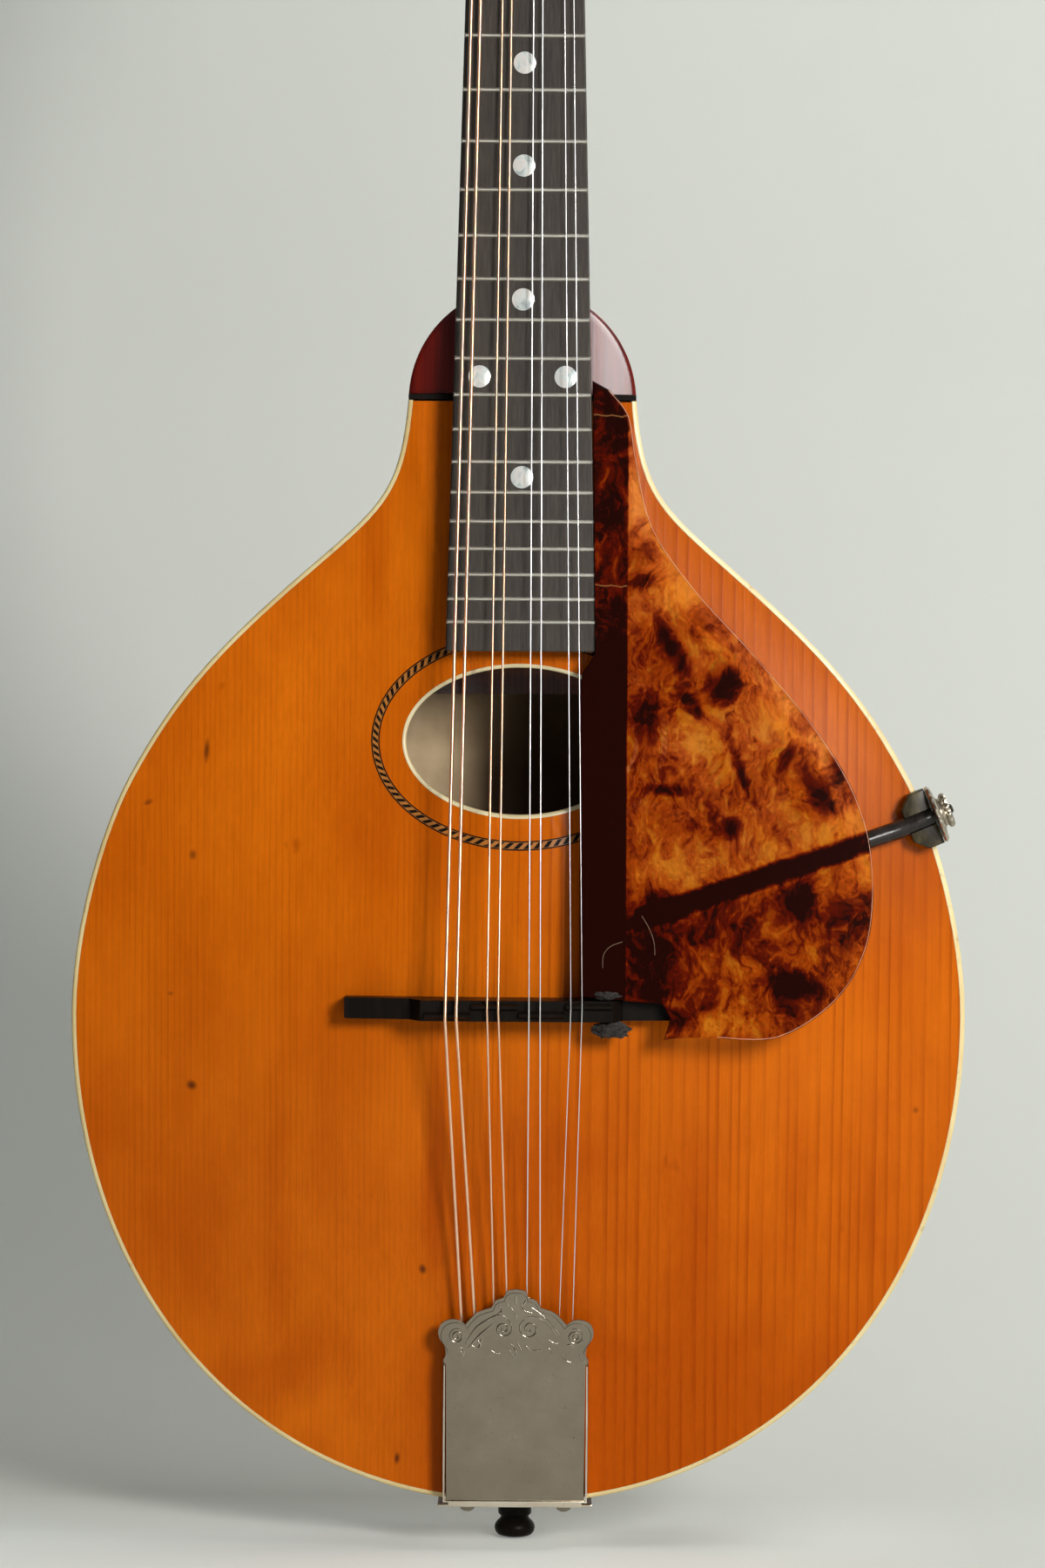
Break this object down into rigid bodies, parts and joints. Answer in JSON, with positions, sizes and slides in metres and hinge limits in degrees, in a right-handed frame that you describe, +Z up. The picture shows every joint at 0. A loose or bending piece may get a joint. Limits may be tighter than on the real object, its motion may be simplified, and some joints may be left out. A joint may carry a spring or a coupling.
{
  "type": "a-style mandolin",
  "caption": "Plucked string instrument: arched pear-shaped body, oval soundhole, fretted neck, floating bridge, raised pickguard on a rim clamp, sliding tailpiece cover, geared tuners.",
  "frame": {"origin": "middle of the end pin's flat tip, the lowest point of the instrument held upright", "axes": "+Z up the neck to the headstock, -Y out of the top, the side with the strings, +X to the treble side, the side with the pickguard"},
  "size_m": [0.26, 0.0974, 0.66],
  "materials": {
    "spruce": "amber gloss over fine straight grain",
    "maple_back": "dark red-brown gloss",
    "neck_wood": "dark cherry gloss",
    "inner_wood": "bare pale wood",
    "ebony": "satin black",
    "ivoroid": "aged ivory",
    "bone": "polished bone",
    "nickel": "worn warm nickel plate",
    "brass": "worn brass",
    "tortoiseshell": "mottled amber and dark red-brown",
    "hard_rubber": "dark hard rubber",
    "wound_string": "bronze wound",
    "plain_string": "plain steel"
  },
  "bodies": {
    "instrument": {"top_plate": "spruce", "back_plate": "maple_back", "rim": "maple_back", "neck": "neck_wood", "neck_block": "neck_wood", "tail_block": "inner_wood", "top_lining_bass": "inner_wood", "top_lining_treble": "inner_wood", "back_lining_bass": "inner_wood", "back_lining_treble": "inner_wood", "tone_bar": "inner_wood", "shoulder_strip": "ebony", "headstock_veneer": "ebony", "fingerboard": "ebony", "bridge": "ebony", "end_pin": "ebony", "soundhole_binding": "ivoroid", "top_binding": "ivoroid", "nut": "bone", "tuner_plate_bass": "nickel", "tuner_plate_treble": "nickel", "tailpiece_base": "nickel", "pickguard": "tortoiseshell", "guard_strip": "hard_rubber", "guard_arm": "hard_rubber", "clamp_jaw": "hard_rubber", "string_1": "wound_string", "string_2": "wound_string", "string_3": "wound_string", "string_4": "wound_string", "string_5": "plain_string", "string_6": "plain_string", "string_7": "plain_string", "string_8": "plain_string"},
    "knob_bass_1": {"tuner_worm_bass_1": "nickel", "tuner_button_bass_1": "ivoroid"},
    "post_bass_1": {"tuner_post_bass_1": "brass"},
    "knob_bass_2": {"tuner_worm_bass_2": "nickel", "tuner_button_bass_2": "ivoroid"},
    "post_bass_2": {"tuner_post_bass_2": "brass"},
    "knob_bass_3": {"tuner_worm_bass_3": "nickel", "tuner_button_bass_3": "ivoroid"},
    "post_bass_3": {"tuner_post_bass_3": "brass"},
    "knob_bass_4": {"tuner_worm_bass_4": "nickel", "tuner_button_bass_4": "ivoroid"},
    "post_bass_4": {"tuner_post_bass_4": "brass"},
    "knob_treble_1": {"tuner_worm_treble_1": "nickel", "tuner_button_treble_1": "ivoroid"},
    "post_treble_1": {"tuner_post_treble_1": "brass"},
    "knob_treble_2": {"tuner_worm_treble_2": "nickel", "tuner_button_treble_2": "ivoroid"},
    "post_treble_2": {"tuner_post_treble_2": "brass"},
    "knob_treble_3": {"tuner_worm_treble_3": "nickel", "tuner_button_treble_3": "ivoroid"},
    "post_treble_3": {"tuner_post_treble_3": "brass"},
    "knob_treble_4": {"tuner_worm_treble_4": "nickel", "tuner_button_treble_4": "ivoroid"},
    "post_treble_4": {"tuner_post_treble_4": "brass"},
    "cover": {"tailpiece_cover": "nickel"},
    "thumb_nut": {"clamp_thumb_nut": "nickel"}
  },
  "joints": [
    {"name": "knob_bass_1_spin", "type": "hinge", "parent": "instrument", "child": "knob_bass_1", "pos_m": [-0.017, 0.01816, 0.544], "axis": [-1, 0, 0], "continuous": true},
    {"name": "post_bass_1_spin", "type": "hinge", "parent": "instrument", "child": "post_bass_1", "pos_m": [-0.017, 0.00182, 0.55737], "axis": [0, -0.95, 0.3123], "continuous": true},
    {"name": "knob_bass_2_spin", "type": "hinge", "parent": "instrument", "child": "knob_bass_2", "pos_m": [-0.017, 0.02535, 0.56584], "axis": [-1, 0, 0], "continuous": true},
    {"name": "post_bass_2_spin", "type": "hinge", "parent": "instrument", "child": "post_bass_2", "pos_m": [-0.017, 0.00901, 0.57922], "axis": [0, -0.95, 0.3123], "continuous": true},
    {"name": "knob_bass_3_spin", "type": "hinge", "parent": "instrument", "child": "knob_bass_3", "pos_m": [-0.017, 0.03253, 0.58769], "axis": [-1, 0, 0], "continuous": true},
    {"name": "post_bass_3_spin", "type": "hinge", "parent": "instrument", "child": "post_bass_3", "pos_m": [-0.017, 0.01619, 0.60107], "axis": [0, -0.95, 0.3123], "continuous": true},
    {"name": "knob_bass_4_spin", "type": "hinge", "parent": "instrument", "child": "knob_bass_4", "pos_m": [-0.017, 0.03971, 0.60954], "axis": [-1, 0, 0], "continuous": true},
    {"name": "post_bass_4_spin", "type": "hinge", "parent": "instrument", "child": "post_bass_4", "pos_m": [-0.017, 0.02337, 0.62291], "axis": [0, -0.95, 0.3123], "continuous": true},
    {"name": "knob_treble_1_spin", "type": "hinge", "parent": "instrument", "child": "knob_treble_1", "pos_m": [0.017, 0.01816, 0.544], "axis": [1, 0, 0], "continuous": true},
    {"name": "post_treble_1_spin", "type": "hinge", "parent": "instrument", "child": "post_treble_1", "pos_m": [0.017, 0.00182, 0.55737], "axis": [0, -0.95, 0.3123], "continuous": true},
    {"name": "knob_treble_2_spin", "type": "hinge", "parent": "instrument", "child": "knob_treble_2", "pos_m": [0.017, 0.02535, 0.56584], "axis": [1, 0, 0], "continuous": true},
    {"name": "post_treble_2_spin", "type": "hinge", "parent": "instrument", "child": "post_treble_2", "pos_m": [0.017, 0.00901, 0.57922], "axis": [0, -0.95, 0.3123], "continuous": true},
    {"name": "knob_treble_3_spin", "type": "hinge", "parent": "instrument", "child": "knob_treble_3", "pos_m": [0.017, 0.03253, 0.58769], "axis": [1, 0, 0], "continuous": true},
    {"name": "post_treble_3_spin", "type": "hinge", "parent": "instrument", "child": "post_treble_3", "pos_m": [0.017, 0.01619, 0.60107], "axis": [0, -0.95, 0.3123], "continuous": true},
    {"name": "knob_treble_4_spin", "type": "hinge", "parent": "instrument", "child": "knob_treble_4", "pos_m": [0.017, 0.03971, 0.60954], "axis": [1, 0, 0], "continuous": true},
    {"name": "post_treble_4_spin", "type": "hinge", "parent": "instrument", "child": "post_treble_4", "pos_m": [0.017, 0.02337, 0.62291], "axis": [0, -0.95, 0.3123], "continuous": true},
    {"name": "cover_slide", "type": "slide", "parent": "instrument", "child": "cover", "axis": [0, -0.184, 0.9829], "range_m": [0, 0.045]},
    {"name": "thumb_nut_spin", "type": "hinge", "parent": "instrument", "child": "thumb_nut", "pos_m": [0.1201, -0.024, 0.2155], "axis": [0.9226, 0, 0.3858], "continuous": true}
  ],
  "couplings": [
    {"joint": "post_bass_1_spin", "follows": "knob_bass_1_spin", "ratio": 0.071429},
    {"joint": "post_bass_2_spin", "follows": "knob_bass_2_spin", "ratio": 0.071429},
    {"joint": "post_bass_3_spin", "follows": "knob_bass_3_spin", "ratio": 0.071429},
    {"joint": "post_bass_4_spin", "follows": "knob_bass_4_spin", "ratio": 0.071429},
    {"joint": "post_treble_1_spin", "follows": "knob_treble_1_spin", "ratio": -0.071429},
    {"joint": "post_treble_2_spin", "follows": "knob_treble_2_spin", "ratio": -0.071429},
    {"joint": "post_treble_3_spin", "follows": "knob_treble_3_spin", "ratio": -0.071429},
    {"joint": "post_treble_4_spin", "follows": "knob_treble_4_spin", "ratio": -0.071429}
  ]
}
